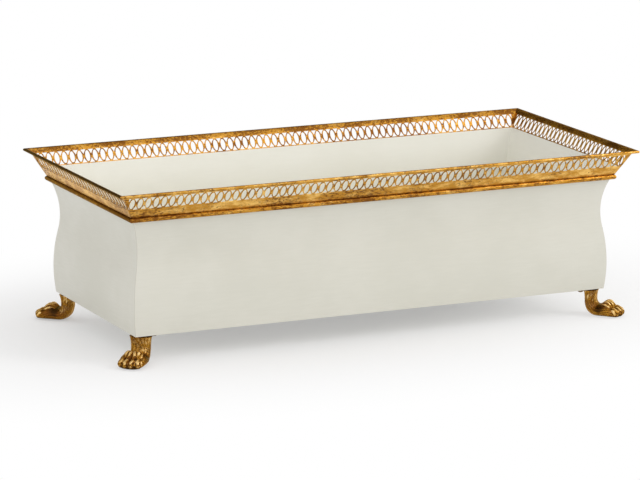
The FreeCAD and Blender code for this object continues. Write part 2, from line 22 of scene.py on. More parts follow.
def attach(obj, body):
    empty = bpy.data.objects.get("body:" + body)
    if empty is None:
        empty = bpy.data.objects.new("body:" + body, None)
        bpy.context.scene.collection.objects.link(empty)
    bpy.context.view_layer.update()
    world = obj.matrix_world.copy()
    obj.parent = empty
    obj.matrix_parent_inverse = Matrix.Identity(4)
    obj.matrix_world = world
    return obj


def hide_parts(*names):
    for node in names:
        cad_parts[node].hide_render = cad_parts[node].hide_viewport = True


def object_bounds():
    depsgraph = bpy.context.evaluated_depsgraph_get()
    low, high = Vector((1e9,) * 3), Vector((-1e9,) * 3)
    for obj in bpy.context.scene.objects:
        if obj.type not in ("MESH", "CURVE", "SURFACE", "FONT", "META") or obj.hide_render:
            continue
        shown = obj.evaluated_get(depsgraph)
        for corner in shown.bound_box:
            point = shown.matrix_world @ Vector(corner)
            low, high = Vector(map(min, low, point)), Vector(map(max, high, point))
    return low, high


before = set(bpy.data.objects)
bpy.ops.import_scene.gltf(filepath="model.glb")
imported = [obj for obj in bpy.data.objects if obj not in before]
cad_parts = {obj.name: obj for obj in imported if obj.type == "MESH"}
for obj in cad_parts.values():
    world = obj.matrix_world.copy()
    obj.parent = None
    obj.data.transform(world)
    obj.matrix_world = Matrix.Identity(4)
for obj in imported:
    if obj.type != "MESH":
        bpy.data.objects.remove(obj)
CAD_LOW, CAD_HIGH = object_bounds()

bl_info = {
    "name": "Tole planter",
    "version": (1, 0, 0),
    "blender": (4, 5, 0),
    "location": "View3D > Sidebar > Planter",
    "description": "Dresses a packed planter with painted walls, a pierced gallery and paw feet",
    "category": "Add Mesh",
}

MM = 0.001
TINY = 1e-9

# Tarnish and painted shading go from 0 for clean leaf to 1 for dark, and below 0 where painted
# light or a painted highlight brightens the leaf. Each side adds painted shading for how the light
# falls on it: painted shade over the back strip and on the edges of the right and left sides, and
# painted light over the left strip
Side = namedtuple("Side", "name quarter_turns is_long strip_tarnish edge_tarnish")
SIDES = (
    Side("front", 0, True, 0.0, 0.0),
    Side("right", 1, False, 0.0, 0.45),
    Side("back", 2, True, 0.28, 0.1),
    Side("left", 3, False, -0.12, 0.9),
)
# Signs of X and Y at each foot
CORNERS = {
    "front_left": (-1, -1), "front_right": (1, -1), "back_left": (-1, 1), "back_right": (1, 1),
}

# Heights of the belly and the neck as shares of the wall below its flare
BELLY_HEIGHT_SHARE = 0.2194
NECK_HEIGHT_SHARE = 0.6724

# STEPS are points along a curve or a piece, AROUND are points round it; here those of the sections
# and of the rounding at a mitre
BELLY_STEPS, NECK_STEPS = 26, 30
BEAD_STEPS = 26
BAND_STEPS = 10
BEND_STEPS, ROLL_STEPS, COVE_STEPS = 8, 14, 9
MITRE_STEPS = 4
BEAD_CORNER, STRIP_CORNER = 0.4 * MM, 0.3 * MM
# How the cove inside the rim leaves the roll, and how far up the inner face it is held
COVE_LEAVES = (2.2 * MM, -0.3 * MM)
COVE_HELD = 5.0 * MM

# Rings: half width of an eye as a share of the pitch, angles of the first quarter, and the power by
# which the outline closes in
EYE_SHARE = 0.32
RING_QUARTER = np.radians([0, 20, 45, 70])
RING_CLOSING = 1.15
PLATE_STEPS, PLATE_LEAST = 9, 0.4 * MM

# Points closer than this are one, and edges sharper than this angle stay sharp
MERGE_DISTANCE = 2e-6
SHARP_ANGLE = math.radians(38)

# Sections of the leg, heel and ball of a foot: middle along the diagonal and up, lean of the depth
# axis from level in degrees, half depth and half width
LEG_ROWS = (
    (-15.5, 31.4, 0, 9.0, 13.2), (-15.5, 29.0, 0, 7.9, 12.5), (-15.6, 25.0, 0, 7.1, 12.0),
    (-15.6, 20.0, 0, 6.8, 11.7), (-15.2, 15.5, 12, 7.0, 11.6), (-13.0, 10.5, 38, 7.4, 11.9),
    (-8.5, 7.2, 66, 7.0, 12.8), (-2.5, 7.2, 84, 7.2, 14.4), (4.0, 8.0, 90, 8.0, 15.4),
    (11.0, 6.6, 92, 6.6, 15.4), (17.0, 4.4, 95, 4.3, 13.4), (20.0, 3.0, 95, 2.4, 10.5),
)
LEG_STEPS, LEG_AROUND = 72, 96
LEG_SQUARING = 0.82
# Furrows of the fur, and the shares of the way to the toes between which they come and go
FURROW_DEPTH = 0.02
FUR_COMES, FUR_GOES = (0.03, 0.11), (0.95, 0.75)
# Middle and reach of the instep's painted shade, and where the leg turns to the ball, which takes
# painted shade, in the same shares
INSTEP, INSTEP_REACH = 0.62, 0.16
BALL_STARTS = (0.45, 0.65)
# Rings of a toe: distance from the leg's axis, height, half width and half height
TOE_ROWS = (
    (12.5, 9.0, 3.4, 3.2), (18.0, 12.5, 4.0, 3.9), (22.8, 14.1, 4.7, 4.5), (26.2, 12.0, 4.3, 4.0),
    (29.3, 9.3, 4.0, 3.5), (32.8, 7.6, 4.9, 4.5), (36.2, 5.7, 5.0, 4.5), (38.7, 4.3, 3.9, 3.6),
    (39.9, 3.7, 2.0, 2.1), (40.3, 3.5, 0.4, 0.4),
)
TOE_STEPS, TOE_AROUND = 38, 40
# The knuckle's share of the way along a toe and the share from there to the pad
KNUCKLE, KNUCKLE_TO_PAD = 0.27, 0.36
OUTER_TOE_LENGTH = 0.93
# Sine of the angles between which a round piece turns from its underside to its upper side
UPPER_SIDE = (-0.5, 0.5)
# Plan of a flange along and across the diagonal, from its tip round its heel, and a point inside
FLANGE_PLAN = (
    (-7.2, 0), (-22.7, 15.5), (-27, 15.5), (-36, 6.5), (-36, -6.5), (-27, -15.5), (-22.7, -15.5),
)
FLANGE_MIDDLE = (-20.0, 0.0)
BOSS_AROUND = 36
# Heights over the floor between which a foot goes from its own colour to painted shade near the
# floor
SOLE_DARK = (3.25 * MM, 0.75 * MM)

# Screws: the head, the stem's profile in millimetres, and where the slot starts and is fully deep
HEAD_RADIUS, HEAD_HEIGHT = 3.8 * MM, 3.2 * MM
STEM_PROFILE = ((3.8, 0), (2.0, 0), (2.0, 9.4), (1.6, 9.9), (0, 9.9))
HEAD_STEPS, SCREW_AROUND = 18, 56
SLOT_SIDE = (0.75 * MM, 0.45 * MM)
SLOT_DEPTH = 1.0 * MM
# The pan under the nuts, and a nut's half width over the flats, its turned ends and its bore
PAN_SHEET = 1.0 * MM
NUT_FLAT, NUT_END, NUT_BORE = 3.5 * MM, 3.55 * MM, 2.0 * MM
NUT_AROUND = 72

# Marks of the solder seams in the paint
OUTSIDE_SEAM, INSIDE_SEAM = 0.6, 0.2
SEAM_COLOUR = (0.33, 0.30, 0.24, 1.0)
# Tarnish of single parts, before the painted shading of their side
RING_TARNISH, PLATE_TARNISH = 0.12, 0.2
# The band's foot and the row above it: patina and painted shade in the groove over the moulding
BAND_FOOT_TARNISH_AND_SHADE, BAND_LOW_TARNISH_AND_SHADE = 0.15, 0.1
ROLL_TOP_TARNISH, ROLL_TOP_STEPS = 0.35, 4
# The moulding's own tarnish, and the share of the way from its crest on which painted shade darkens
# it towards the wall
BEAD_TARNISH, BEAD_SEAT_SHADE_FROM = 0.25, 0.65
FLANGE_TARNISH, BOSS_TARNISH, NUT_TARNISH = 0.8, 0.6, 0.2
# How much of a side's painted edge shade each edge takes
ROLL_SHARE, COVE_SHARE, BEAD_SHARE = 1.2, 0.9, 0.5

# Grain of the finishes, in clouds to the metre
BEAD_GRAIN, STRIP_GRAIN, CUT_GRAIN, CAST_GRAIN, STEEL_GRAIN = 150.0, 140.0, 300.0, 210.0, 400.0
# Stretch of the clouds along the pieces that were rubbed lengthwise
NO_STRETCH, STRIP_STRETCH, RIM_STRETCH = (1.0, 1.0, 1.0), (0.4, 0.4, 1.0), (0.6, 0.6, 1.0)
# Strength and depth of the fine relief
PAINT_RELIEF, PAN_RELIEF = (0.12, 0.0002), (0.2, 0.0003)
LEAF_RELIEF, CAST_RELIEF = (0.35, 0.0004), (0.8, 0.0016)
STEEL_RUBBED = 1.5

# Lamps: the property with their level, where they shine from, and their softness in degrees
LAMPS = (("key", (0.70, -0.50, 0.50), 24), ("top", (0.0, 0.0, 1.0), 70))
WHITE = (1.0, 1.0, 1.0, 1.0)
PAPER = (0.93, 0.93, 0.935, 1.0)
FLOOR_HALF = 8.0
# The oval on the floor that keeps the shadow, and the distances between which it fades
OVAL_SHIFT, OVAL_STRETCH, OVAL_FADE = (0.06, -0.06, 0.0), (1.0, 1.6, 1.0), (0.17, 0.75)
# The dark card: its ends on the floor plan, its lower and upper edge
CARD_LEFT, CARD_RIGHT, CARD_LOW, CARD_HIGH = (-3.0, 1.3), (1.4, 1.9), 0.7, 2.6
CARD_COLOUR = (0.03, 0.028, 0.025, 1.0)
SENSOR_WIDTH, SIGHT = 36.0, 100.0


def span(name, text, default):
    """A length property, with its default in millimetres."""
    return FloatProperty(
        name=name, description=text, default=default * MM, unit="LENGTH", precision=5)


def turn(name, text, default):
    """An angle property, with its default in degrees."""
    return FloatProperty(
        name=name, description=text, default=math.radians(default), subtype="ANGLE")


def tint(name, text, default):
    """A colour property, in linear light."""
    return FloatVectorProperty(
        name=name, description=text, default=default, subtype="COLOR", min=0.0, max=1.0)


def number(name, text, default):
    """A property for a plain number."""
    return FloatProperty(name=name, description=text, default=default)


class PlanterSizes(PropertyGroup):
    rim_length: span("Rim length", "Outside of the rim along X", (CAD_HIGH.x - CAD_LOW.x) / MM)
    rim_depth: span("Rim depth", "Outside of the rim along Y", (CAD_HIGH.y - CAD_LOW.y) / MM)
    height: span("Height", "Floor to the top of the rim", CAD_HIGH.z / MM)
    roll_radius: span("Roll radius", "Radius of the rolled rim", 1.6)
    rim_flat: span("Rim flat", "Flat of the rim between its bend and its roll", 2.1)
    bend_radius: span("Bend radius", "Radius of the bend under the rim", 4.5)
    strip_sheet: span("Strip sheet", "Thickness of the gallery strip", 0.8)
    flare: turn("Flare", "Lean of the gallery and of the wall behind it", 28.5)
    ring_margin: span("Ring margin", "Gap between the rings' border and the bend", 0.25)
    ring_half_height: span(
        "Ring half height", "Middle to the top of a ring, on its centre line", 7.6)
    ring_pitch: span("Ring pitch", "Wanted distance from ring to ring", 9.7)
    strut: span("Strut", "Width of a ring's bar", 1.2)
    ring_meet: span("Ring meeting", "Half height of the meeting between two rings", 2.2)
    ring_seat: span("Ring seat", "Half width of a ring where it meets the border", 1.45)
    corner_margin: span("Corner margin", "Gap between the last ring and the mitre", 2.4)
    band_height: span("Band height", "Height of the plain band under the rings", 9.8)
    solder_gap: span("Solder gap", "Thin gap between the wall and what is soldered on it", 0.1)
    bead_gap: span("Bead gap", "Gap between the gallery's foot and the moulding", 0.1)
    bead_radius: span("Bead radius", "Radius of the half-round moulding", 3.0)
    bead_stand: span("Bead stand", "How far the moulding stands off the wall", 3.95)
    wall_sheet: span("Wall sheet", "Thickness of the walls", 1.0)
    wall_corner: span("Wall corner", "Radius of the soldered corners", 0.7)
    lip_margin: span("Lip margin", "Gap between the wall's lip and the rings' border", 0.8)
    flare_start: span("Flare start", "Start of the straight flare above the gallery's foot", 1.28)
    belly_bulge: span("Belly bulge", "Depth of the ogee from neck to belly", 6.4)
    foot_height: span("Foot height", "Floor to the bottom of the walls", 33.0)
    flange_sheet: span("Flange sheet", "Thickness of a foot's flange", 2.0)
    leg_setback: span(
        "Leg setback", "Middle of a leg inside the walls' corner, on the diagonal", 15.5)
    screw_setback: span("Screw setback", "Screw inside the walls' corner, on the diagonal", 29.0)
    screw_boss: span("Screw boss", "Height of the boss under a flange at its screw", 2.1)
    toe_fan: turn("Toe fan", "Angle from toe to toe", 11.0)
    toes: IntProperty(name="Toes", description="Number of toes on a paw", default=4, min=3, max=5)


class PlanterFinishes(PropertyGroup):
    cream: tint("Cream", "Cream paint of the walls", (0.79, 0.775, 0.685))
    cream_shade: tint("Cream shade", "Cloudy tone in the paint", (0.745, 0.732, 0.64))
    # The paler cream inside is painted light: the inside walls are drawn paler to stand for the
    # brighter light they get
    inside: tint("Inside", "Paler cream inside the walls", (0.90, 0.885, 0.80))
    inside_shade: tint("Inside shade", "Cloudy tone of the paler cream", (0.87, 0.855, 0.765))
    leaf: tint("Leaf", "Gold leaf", (0.59, 0.28, 0.036))
    leaf_pale: tint("Pale leaf", "Bright patches of the leaf", (1.0, 0.63, 0.18))
    # The cut edges are darker than the leaf: partly bare edge, partly painted shade in the rings'
    # eyes
    cut_edge: tint("Cut edge", "Leaf on the cut edges of the rings", (0.36, 0.20, 0.05))
    cut_edge_pale: tint("Pale cut edge", "Bright patches of the cut edges", (0.60, 0.38, 0.12))
    bole: tint("Bole", "Red-brown ground that shows through the leaf", (0.16, 0.048, 0.009))
    # The soot also colours the deepest painted shade, on the feet and on the shaded sides' edges
    soot: tint("Soot", "Dark patina in hollows and on handled edges", (0.045, 0.022, 0.008))
    casting: tint("Casting", "Burnished casting of the feet", (0.46, 0.22, 0.026))
    # The pale casting also shows where the painted highlight falls on the toes and ridges
    casting_pale: tint("Pale casting", "Rubbed high spots of the feet", (0.95, 0.66, 0.28))
    steel: tint("Steel", "Dull steel of the fasteners", (0.24, 0.19, 0.13))
    glance: tint("Glance", "Colour of the gilding at glancing angles", (1.0, 0.80, 0.46))
    strip_glance: tint(
        "Strip glance", "Colour of the flat strips at glancing angles", (1.0, 0.96, 0.86))


class PlanterStage(PropertyGroup):
    yaw: turn("Yaw", "Camera turned round the planter", -24.8976)
    pitch: turn("Pitch", "Camera above the horizon", 12.3551)
    roll: turn("Roll", "Camera rolled about its own axis", 0.20824)
    distance: span("Distance", "Camera to the aimed point", 4493.1)
    aim_height: span("Aim height", "Height of the aimed point", 79.2)
    slide: span("Slide", "Camera moved to its right", -12.855)
    rise: span("Rise", "Camera moved up", 14.0736)
    lens: number("Lens", "Focal length in millimetres", 212.865)
    sky: number("Sky", "Level of the even light from all round", 0.745)
    key: number("Key", "Level of the soft light from the front right", 0.735)
    top: number("Top", "Level of the soft light from above", 0.146)
    floor_glow: FloatProperty(
        name="Floor glow", description="Share of plain white in the floor near the planter",
        default=0.34, subtype="FACTOR", min=0.0, max=1.0)


def chain(s):
    """Heights and insets worked out from the rim down, and the ogee's two tangent arcs."""
    h = SimpleNamespace()
    sin, cos = math.sin(s.flare), math.cos(s.flare)
    slope = sin / cos
    h.rim_under = s.height - 2 * s.roll_radius
    h.roll_height = s.height - s.roll_radius
    h.bend_inset = s.roll_radius + s.rim_flat
    h.bend_height = h.rim_under - s.bend_radius
    rim_corner = h.bend_inset + s.bend_radius * math.tan((pi / 2 - s.flare) / 2)
    h.border = s.ring_half_height + s.strut / 2
    h.ring_height = h.bend_height + s.bend_radius * sin - s.ring_margin - h.border * cos
    h.ring_inset = rim_corner + (h.rim_under - h.ring_height) * slope
    foot = h.ring_height - h.border * cos - s.band_height
    h.strip_foot = (foot - s.strip_sheet * sin - h.ring_height) / cos
    h.lip_height = h.ring_height - h.border * cos - s.lip_margin
    h.flare_height = foot + s.flare_start
    h.flare_inset = (rim_corner + (s.solder_gap + s.strip_sheet) / cos
                     + (h.rim_under - h.flare_height) * slope)
    wall_rise = h.flare_height - s.foot_height
    h.neck_height = s.foot_height + wall_rise * NECK_HEIGHT_SHARE
    h.belly_height = s.foot_height + wall_rise * BELLY_HEIGHT_SHARE
    h.neck_radius = (h.flare_height - h.neck_height) / sin
    h.neck_axis = h.flare_inset - h.neck_radius * cos
    ogee_rise = h.neck_height - h.belly_height
    radii = (s.belly_bulge ** 2 + ogee_rise ** 2) / (2 * s.belly_bulge)
    h.belly_radius = radii - h.neck_radius
    h.belly_axis = h.neck_axis + h.neck_radius - s.belly_bulge + h.belly_radius
    h.turn = math.asin(ogee_rise / radii)
    h.foot_turn = math.asin((h.belly_height - s.foot_height) / h.belly_radius)
    bottom_inset = h.belly_axis - h.belly_radius * math.cos(h.foot_turn)
    h.corner = (s.rim_length / 2 - bottom_inset, s.rim_depth / 2 - bottom_inset)
    h.bead_height = foot - s.bead_radius - s.bead_gap
    h.bead_lean = math.asin((h.bead_height - h.neck_height) / h.neck_radius)
    h.bead_seat = h.neck_axis + h.neck_radius * math.cos(h.bead_lean)
    return h


def ramp(value, start, end):
    """Zero up to the start and one from the end on, straight between them."""
    return np.clip((value - start) / (end - start), 0, 1)


def full_turn(count):
    """Angles evenly round a full turn."""
    return np.linspace(0, 2 * pi, count, endpoint=False)


def arc(inset, height, radius, angles):
    """Points of a section on a circle about an inset and a height."""
    return np.column_stack([inset + radius * np.cos(angles), height + radius * np.sin(angles)])


def wall_section(s, h):
    """Closed section of a wall: up the outside along the belly arc, the neck arc and the straight
    flare, then down the inside, one sheet further in."""
    belly = np.linspace(-h.foot_turn, h.turn, BELLY_STEPS)
    neck = np.linspace(-h.turn, s.flare, NECK_STEPS)[1:]
    lip_run = (h.lip_height - h.flare_height) / math.cos(s.flare)
    lip = lip_run * np.array([-math.sin(s.flare), math.cos(s.flare)])

    def face(offset):
        """One face of the wall from its foot to its lip."""
        curve = np.vstack([
            arc(h.belly_axis, h.belly_height, h.belly_radius - offset, pi - belly),
            arc(h.neck_axis, h.neck_height, h.neck_radius + offset, neck)])
        return np.vstack([curve, curve[-1] + lip])

    return np.vstack([face(0.0), face(s.wall_sheet)[::-1]])


def bead_section(s, h):
    """Closed section of the moulding: a circle cut flat on the wall and leaned with it."""
    off_wall = s.bead_stand - s.bead_radius
    cut = math.acos(-off_wall / s.bead_radius)
    angle = np.linspace(-cut, cut, BEAD_STEPS)[:, None]
    out = np.array([-math.cos(h.bead_lean), -math.sin(h.bead_lean)])
    along = np.array([-math.sin(h.bead_lean), math.cos(h.bead_lean)])
    centre = np.array([h.bead_seat, h.bead_height]) + out * (s.solder_gap + off_wall)
    return centre + s.bead_radius * (np.cos(angle) * out + np.sin(angle) * along)


def on_strip(s, h, rise, depth=0.0):
    """Inset and height of points on the leaning strip: rise goes up its outer face from the middle
    of the rings, and depth goes in through the sheet."""
    rise = np.asarray(rise, float)
    inset = h.ring_inset - rise * math.sin(s.flare) + depth * math.cos(s.flare)
    height = h.ring_height + rise * math.cos(s.flare) + depth * math.sin(s.flare)
    return np.stack([inset, height], -1)


def band_section(s, h):
    """Closed section of the plain band under the rings, both faces from its foot to the border."""
    rise = np.linspace(h.strip_foot, -h.border, BAND_STEPS)
    return np.vstack([on_strip(s, h, rise), on_strip(s, h, rise[::-1], s.strip_sheet)])


def rim_section(s, h):
    """Closed section above the rings: up the outer face, round the bend, along the flat and half
    round the roll, then down a smooth cove, a cubic between the roll's top and the inner face."""
    bend = np.linspace(s.flare, pi / 2, BEND_STEPS)
    roll = np.linspace(-pi / 2, -1.5 * pi, ROLL_STEPS)
    top = np.array([s.roll_radius, s.height])
    held = on_strip(s, h, h.border + COVE_HELD, s.strip_sheet)
    end = on_strip(s, h, h.border, s.strip_sheet)
    t = np.linspace(0, 1, COVE_STEPS + 1)[1:, None]
    cove = ((1 - t) ** 3 * top + 3 * (1 - t) ** 2 * t * (top + COVE_LEAVES)
            + 3 * (1 - t) * t ** 2 * held + t ** 3 * end)
    return np.vstack([
        on_strip(s, h, [h.border]),
        arc(h.bend_inset, h.bend_height, s.bend_radius, bend),
        arc(s.roll_radius, h.roll_height, s.roll_radius, roll),
        cove,
    ])


class Shell:
    """Blocks of points and quads that become one mesh. Points may lie on each other at poles and
    seams, which are merged when the mesh is made."""

    def __init__(self):
        self.points, self.quads, self.finish, self.dark = [], [], [], []
        self.count = 0

    def add(self, points, quads, finish=0, dark=0.0):
        """Add a block, with the finish of its quads and the tarnish and painted shading of its
        points.
        """
        points = np.asarray(points, float).reshape(-1, 3)
        self.points.append(points)
        self.quads.append(quads + self.count)
        self.finish.append(np.broadcast_to(finish, len(quads)))
        self.dark.append(np.zeros(len(points)) + np.ravel(dark))
        self.count += len(points)

    def add_rounds(self, points, dark):
        """Add rows of points that each close to a ring."""
        self.add(points, grid_quads(*points.shape[:2], round_columns=True), dark=dark)

    def turned(self, quarter_turns):
        """The same shell turned about Z by quarter turns."""
        angle = quarter_turns * pi / 2
        cos, sin = round(math.cos(angle)), round(math.sin(angle))
        matrix = np.array([[cos, sin, 0], [-sin, cos, 0], [0, 0, 1]], float)
        self.points = [points @ matrix for points in self.points]
        return self


def grid_quads(rows, columns, round_rows=False, round_columns=False):
    """Quads of a grid of points, row by row, closed round its rows or its columns."""
    row = np.arange(rows if round_rows else rows - 1)[:, None]
    column = np.arange(columns if round_columns else columns - 1)[None, :]
    after_row, after_column = (row + 1) % rows, (column + 1) % columns
    corners = [row * columns + column, row * columns + after_column,
               after_row * columns + after_column, after_row * columns + column]
    return np.stack(np.broadcast_arrays(*corners), -1).reshape(-1, 4)


def sweep_side(shell, section, half_length, half_depth, corner, dark=0.0, seam=0.0, finish=0):
    """Carry a section along a side. At run share t and turn angle p the point of inset d is at
    x = t (half_length - d - r) + r cos p, y = -(half_depth - d - r) + r sin p: straight between
    the corners, then an eighth of a turn of radius r to each mitre. Both mitred ends are closed,
    and the seam darkens what is next to them."""
    eighth = np.linspace(math.radians(-135), math.radians(-90), MITRE_STEPS)
    angle = np.concatenate([eighth, -pi - eighth[::-1]])
    run = np.repeat([-1.0, 1.0], MITRE_STEPS)
    inset, height = section[:, :1], section[:, 1:]
    x = run * (half_length - inset - corner) + corner * np.cos(angle)
    y = -(half_depth - inset - corner) + corner * np.sin(angle)
    points = np.stack(np.broadcast_arrays(x, y, height), -1)
    count, wide = len(section), len(run)
    first = np.arange(count // 2 - 1)
    left = np.stack([first, first + 1, count - 2 - first, count - 1 - first], -1) * wide
    right = left[:, ::-1] + wide - 1
    quads = np.vstack([grid_quads(count, wide, round_rows=True), left, right])
    shade = np.zeros((count, wide)) + np.reshape(dark, (-1, 1))
    shade[:, [0, 1, -2, -1]] += np.reshape(seam, (-1, 1))
    faces = np.zeros((count, wide - 1), int) + np.reshape(finish, (-1, 1))
    ends = np.zeros(len(left) + len(right), int)
    shell.add(points, quads, np.concatenate([faces.ravel(), ends]), shade)


def ring_row(shell, s, h, half_length, half_depth, tarnish):
    """All rings of a side, and half the width of their row. At angle a a ring's bar runs from its
    eye, an ellipse, to its outline, which keeps to the middle between two rings over their meeting
    and then closes in to its seat on the border. The four points across the bar are eye and
    outline on the outer face, then outline and eye on the inner one."""
    half_row = half_length - h.ring_inset - s.corner_margin
    count = round(2 * half_row / s.ring_pitch)
    pitch = 2 * half_row / count
    half_turn = np.concatenate([RING_QUARTER, [pi / 2], pi - RING_QUARTER[::-1]])
    angle = np.concatenate([half_turn, half_turn[1:-1] + pi])
    cos, sin = np.cos(angle), np.sin(angle)
    eye_x, eye_rise = EYE_SHARE * pitch * cos, (s.ring_half_height - s.strut / 2) * sin
    lift = np.interp(np.abs(sin), np.sin(RING_QUARTER),
                     [0, s.ring_meet, (s.ring_meet + h.border) / 2, h.border])
    close = ramp(lift, s.ring_meet, h.border) ** RING_CLOSING
    out_x = np.sign(cos) * (pitch / 2 + (s.ring_seat - pitch / 2) * close)
    out_x[np.abs(cos) < TINY] = 0
    out_rise = np.sign(sin) * lift
    section = np.stack([
        on_strip(s, h, eye_rise), on_strip(s, h, out_rise),
        on_strip(s, h, out_rise, s.strip_sheet), on_strip(s, h, eye_rise, s.strip_sheet)], 1)
    steps = len(angle)
    middles = (np.arange(count) - (count - 1) / 2) * pitch
    points = np.empty((count, steps, 4, 3))
    points[..., 0] = middles[:, None, None] + np.stack([eye_x, out_x, out_x, eye_x], -1)
    points[..., 1] = section[..., 0] - half_depth
    points[..., 2] = section[..., 1]
    at_side = np.abs(out_x) > pitch / 2 - TINY
    keep = np.ones((steps, 4), bool)
    keep[at_side & np.roll(at_side, -1), 1] = False
    around = grid_quads(steps, 4, round_rows=True, round_columns=True)
    ring = around.reshape(steps, 4, 4)[keep]
    is_cut = np.broadcast_to([0, 1, 0, 1], (steps, 4))[keep]
    quads = ring[None] + (np.arange(count) * steps * 4)[:, None, None]
    shell.add(points, quads.reshape(-1, 4), np.tile(is_cut, count), RING_TARNISH + tarnish)
    return half_row


def corner_plate(shell, s, h, half_length, half_depth, tarnish, half_row, hand):
    """Plain corner of the strip between the last ring and the mitre, at both faces of the sheet."""
    rise = np.linspace(-h.border, h.border, PLATE_STEPS)
    faces = [on_strip(s, h, rise, depth) for depth in (0.0, s.strip_sheet)]
    mitre = [half_length - face[:, 0] for face in faces]
    inner = np.minimum(half_row, mitre[1] - PLATE_LEAST)
    columns = [(inner, faces[0]), (mitre[0], faces[0]), (mitre[1], faces[1]), (inner, faces[1])]
    points = np.stack([np.stack([hand * x, face[:, 0] - half_depth, face[:, 1]], -1)
                       for x, face in columns], 1)
    across = np.arange(4)
    quads = np.vstack([grid_quads(PLATE_STEPS, 4, round_columns=True), across[::-1],
                       across + 4 * (PLATE_STEPS - 1)])
    shell.add(points, quads if hand > 0 else quads[:, ::-1], dark=PLATE_TARNISH + tarnish)


def make_piece(name, shell, finishes, node, outward=False):
    """Make the mesh of a shell: merge its seams and poles, face it outwards, shade it smooth
    between sharp edges, and keep how dark each point is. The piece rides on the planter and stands
    for its node."""
    if not shell.count:
        raise RuntimeError(f"{name} has no points")
    mesh = bpy.data.meshes.new(name)
    mesh.from_pydata(np.vstack(shell.points), [], np.vstack(shell.quads))
    mesh.polygons.foreach_set("material_index", np.concatenate(shell.finish).astype(np.int32))
    dark = mesh.attributes.new("tarnish", "FLOAT", "POINT")
    dark.data.foreach_set("value", np.concatenate(shell.dark).astype(np.float32))
    cells = bmesh.new()
    cells.from_mesh(mesh)
    bmesh.ops.remove_doubles(cells, verts=cells.verts, dist=MERGE_DISTANCE)
    if outward:
        bmesh.ops.recalc_face_normals(cells, faces=cells.faces)
    cells.to_mesh(mesh)
    cells.free()
    mesh.shade_smooth()
    mesh.set_sharp_from_angle(angle=SHARP_ANGLE)
    for finish in finishes:
        mesh.materials.append(finish)
    piece = bpy.data.objects.new(name, mesh)
    bpy.context.scene.collection.objects.link(piece)
    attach(piece, "root")
    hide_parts(node)


def smooth_rows(table, count):
    """Rows between the rows of a table, on a smooth curve through each column (Catmull-Rom)."""
    table = np.asarray(table, float)
    padded = np.vstack([2 * table[0] - table[1], table, 2 * table[-1] - table[-2]])
    place = np.linspace(0, len(table) - 1 - TINY, count)
    index = place.astype(int)
    t = (place - index)[:, None]
    a, b, c, d = (padded[index + step] for step in range(4))
    return 0.5 * (2 * b + (c - a) * t + (2 * a - 5 * b + 4 * c - d) * t ** 2
                  + (3 * b - a - 3 * c + d) * t ** 3)


def with_poles(rows, first, last):
    """Rows of points closed by a row at one point before them and another after them."""
    shape = (1, *rows.shape[1:])
    return np.concatenate([np.broadcast_to(first, shape), rows, np.broadcast_to(last, shape)])


def turn_round(radius, height, angle, axis):
    """A profile turned about an upright axis: x + r cos a, y + r sin a at radius r, angle a."""
    x, y = axis
    return np.stack(np.broadcast_arrays(
        x + radius * np.cos(angle), y + radius * np.sin(angle), height), -1)


def foot_body(shell):
    """Leg, heel and ball of a foot. A point of a section at angle a is at half width times cos a
    across and half depth times sin a along the depth axis, both raised to a power for squarer
    corners. At share t of the way to the toes, furrows |sin(9 a + 1.1 sin(17 t + 2 a) + 7 t)| to
    the power 0.6 run along it like combed fur. Painted shade darkens the furrows, the instep and
    the ball, and a painted highlight brightens the ridges."""
    rows = smooth_rows(LEG_ROWS, LEG_STEPS)
    along, up, lean, deep, wide = (rows[:, k:k + 1] for k in range(5))
    angle = full_turn(LEG_AROUND)
    cos, sin = np.cos(angle), np.sin(angle)
    across = wide * np.sign(cos) * np.abs(cos) ** LEG_SQUARING
    depth = deep * np.sign(sin) * np.abs(sin) ** LEG_SQUARING
    share = np.linspace(0, 1, LEG_STEPS)[:, None]
    fade = ramp(share, *FUR_COMES) * ramp(share, *FUR_GOES)
    furrow = np.abs(np.sin(9 * angle + 1.1 * np.sin(17 * share + 2 * angle) + 7 * share)) ** 0.6
    hollow = fade * (1 - furrow)
    size = 1 - FURROW_DEPTH * hollow
    lean = np.radians(lean)
    points = np.stack(np.broadcast_arrays(
        along + size * depth * np.cos(lean), size * across, up + size * depth * np.sin(lean)), -1)
    points = with_poles(points, *((row[0], 0, row[1]) for row in (rows[0], rows[-1])))
    instep = ramp(np.abs(share - INSTEP), INSTEP_REACH, 0.0) * ramp(sin, *UPPER_SIDE)
    ball = ramp(share, *BALL_STARTS)
    # Painted shade on the ball, in the furrows and on the instep, and a painted highlight on the
    # ridges
    dark = 0.17 + 0.3 * ball + 0.25 * hollow + 0.8 * instep - 0.15 * furrow ** 8
    dark = np.concatenate([dark[:1], dark, dark[-1:]])
    shell.add_rounds(points * MM, np.clip(dark, -1, 1))


